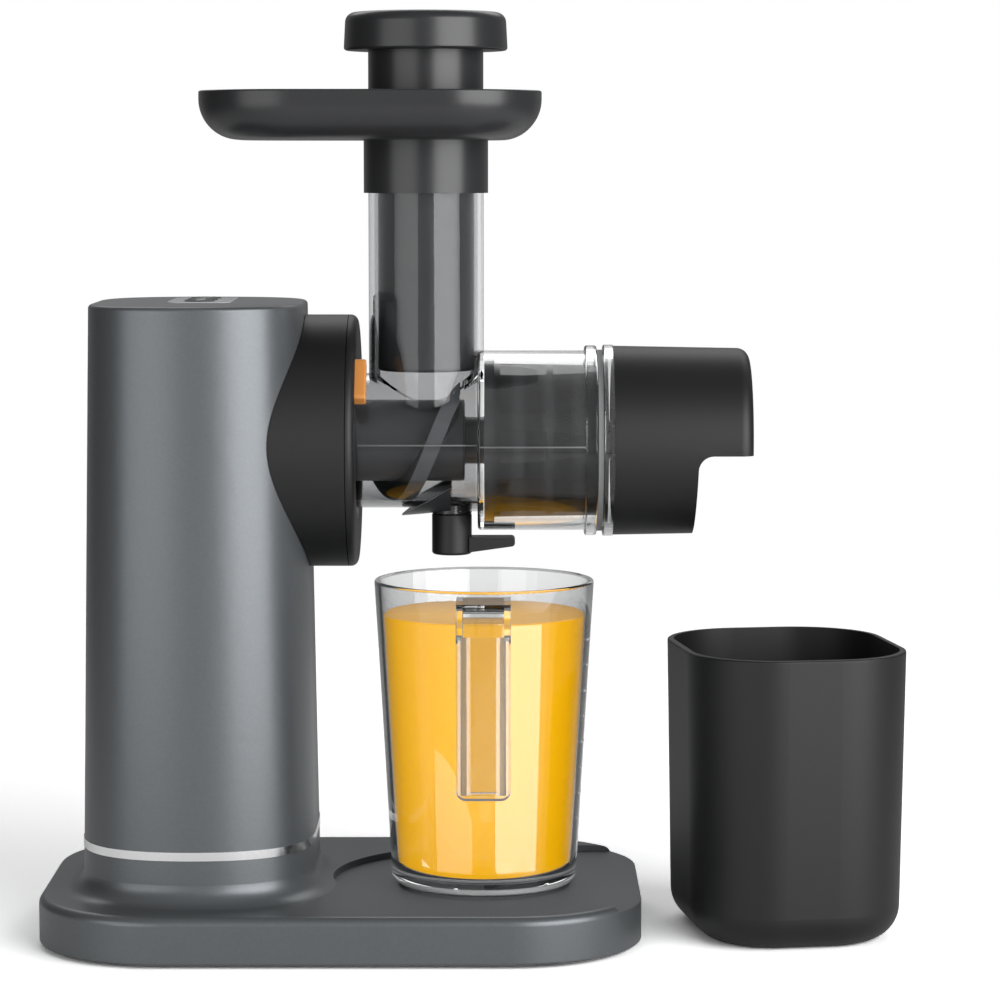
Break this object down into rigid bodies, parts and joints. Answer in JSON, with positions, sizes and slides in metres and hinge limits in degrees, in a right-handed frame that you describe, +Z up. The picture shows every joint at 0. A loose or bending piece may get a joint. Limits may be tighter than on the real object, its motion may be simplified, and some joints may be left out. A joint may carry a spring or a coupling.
{
  "type": "cold press juicer",
  "caption": "Horizontal cold press juicer: motor tower on a flat base, clear juicing chamber with auger, feed tray and pusher, juice jug and pulp container.",
  "frame": {"origin": "on the standing surface, under the middle of the whole set", "axes": "+Z up, +X from the motor tower along the auger to the pulp outlet, -Y to the front"},
  "size_m": [0.3485, 0.168, 0.3722],
  "materials": {
    "slate_plastic": "satin, metallic grey",
    "black_plastic": "fine matt grain",
    "dark_grey_plastic": "soft gloss",
    "clear_plastic": "clear, polished",
    "auger_plastic": "satin",
    "trim_metal": "polished band",
    "orange_plastic": "soft gloss",
    "panel_plastic": "pale satin",
    "button_plastic": "satin",
    "rubber": "matt",
    "seal_rubber": "matt",
    "steel": "ground",
    "motor_steel": "satin",
    "gear_nylon": "natural nylon",
    "housing_nylon": "glass-filled nylon",
    "circuit_board": "lacquered board"
  },
  "bodies": {
    "machine": {"base_housing": "slate_plastic", "base_plate": "black_plastic", "rubber_feet": "rubber", "base_screws": "steel", "cord_gland": "rubber", "trim_band": "trim_metal", "tower_shell": "slate_plastic", "top_cover": "slate_plastic", "control_panel": "panel_plastic", "button_board": "circuit_board", "control_board": "circuit_board", "board_screws": "steel", "hub_housing": "black_plastic", "hub_face_plate": "black_plastic", "hub_screws": "steel", "release_spring": "steel", "safety_switch": "housing_nylon", "motor_can": "motor_steel", "motor_bell": "motor_steel", "motor_screws": "steel", "gear_case": "housing_nylon", "gear_case_cover": "housing_nylon", "gear_case_screws": "steel", "idler_axle": "steel", "output_bearings": "steel", "shaft_seal": "seal_rubber"},
    "start_button": {"start_button": "button_plastic"},
    "reverse_button": {"reverse_button": "button_plastic"},
    "power_button": {"power_button": "button_plastic"},
    "release_tab": {"release_tab": "orange_plastic"},
    "motor_rotor": {"motor_shaft": "steel", "motor_pinion": "steel"},
    "intermediate_gear": {"intermediate_gear": "gear_nylon"},
    "drive_output": {"output_gear": "steel", "drive_shaft": "steel"},
    "chamber": {"juicing_chamber": "clear_plastic", "chamber_seal": "seal_rubber", "filter_basket": "auger_plastic", "cap_seal": "seal_rubber"},
    "auger": {"auger": "auger_plastic"},
    "drip_stop": {"drip_stop": "black_plastic"},
    "end_cap": {"end_cap": "black_plastic", "cap_lock_ring": "clear_plastic"},
    "feed_tray": {"feed_tray": "dark_grey_plastic"},
    "pusher": {"pusher_body": "dark_grey_plastic", "pusher_cap": "dark_grey_plastic"},
    "juice_jug": {"juice_jug": "clear_plastic"},
    "pulp_container": {"pulp_container": "black_plastic"}
  },
  "joints": [
    {"name": "start_press", "type": "slide", "parent": "machine", "child": "start_button", "axis": [0, 0, -1], "range_m": [0, 0.0009], "stiffness_N_per_m": 300, "springref_m": -0.001},
    {"name": "reverse_press", "type": "slide", "parent": "machine", "child": "reverse_button", "axis": [0, 0, -1], "range_m": [0, 0.0009], "stiffness_N_per_m": 300, "springref_m": -0.001},
    {"name": "power_press", "type": "slide", "parent": "machine", "child": "power_button", "axis": [0, 0, -1], "range_m": [0, 0.0009], "stiffness_N_per_m": 300, "springref_m": -0.001},
    {"name": "release_press", "type": "slide", "parent": "machine", "child": "release_tab", "axis": [-1, 0, 0], "range_m": [0, 0.0025], "stiffness_N_per_m": 400, "springref_m": -0.001, "deforming": ["release_spring"]},
    {"name": "output_spin", "type": "hinge", "parent": "machine", "child": "drive_output", "pos_m": [-0.10087, 0, 0.1998], "axis": [1, 0, 0], "continuous": true},
    {"name": "intermediate_spin", "type": "hinge", "parent": "machine", "child": "intermediate_gear", "pos_m": [-0.10087, 0, 0.1548], "axis": [1, 0, 0], "continuous": true},
    {"name": "motor_spin", "type": "hinge", "parent": "machine", "child": "motor_rotor", "pos_m": [-0.11487, 0, 0.1218], "axis": [1, 0, 0], "continuous": true},
    {"name": "chamber_pull", "type": "slide", "parent": "machine", "child": "chamber", "axis": [1, 0, 0], "range_m": [0, 0.1]},
    {"name": "auger_spin", "type": "hinge", "parent": "chamber", "child": "auger", "pos_m": [-0.04907, 0, 0.1998], "axis": [1, 0, 0], "continuous": true},
    {"name": "drip_stop_turn", "type": "hinge", "parent": "chamber", "child": "drip_stop", "pos_m": [-0.00877, 0, 0.1534], "axis": [0, 0, -1], "range_deg": [0, 90]},
    {"name": "end_cap_pull", "type": "slide", "parent": "chamber", "child": "end_cap", "axis": [1, 0, 0], "range_m": [0, 0.05]},
    {"name": "tray_lift", "type": "slide", "parent": "chamber", "child": "feed_tray", "axis": [0, 0, 1], "range_m": [0, 0.06]},
    {"name": "pusher_lift", "type": "slide", "parent": "feed_tray", "child": "pusher", "axis": [0, 0, 1], "range_m": [0, 0.13]},
    {"name": "jug_pull", "type": "slide", "parent": "machine", "child": "juice_jug", "axis": [0, -0.9929, 0.1191], "range_m": [0, 0.15]},
    {"name": "container_move", "type": "slide", "parent": "machine", "child": "pulp_container", "axis": [1, 0, 0], "range_m": [0, 0.12]}
  ],
  "couplings": [
    {"joint": "intermediate_spin", "follows": "output_spin", "ratio": -4},
    {"joint": "motor_spin", "follows": "output_spin", "ratio": 22.4},
    {"joint": "auger_spin", "follows": "output_spin", "ratio": 1}
  ]
}
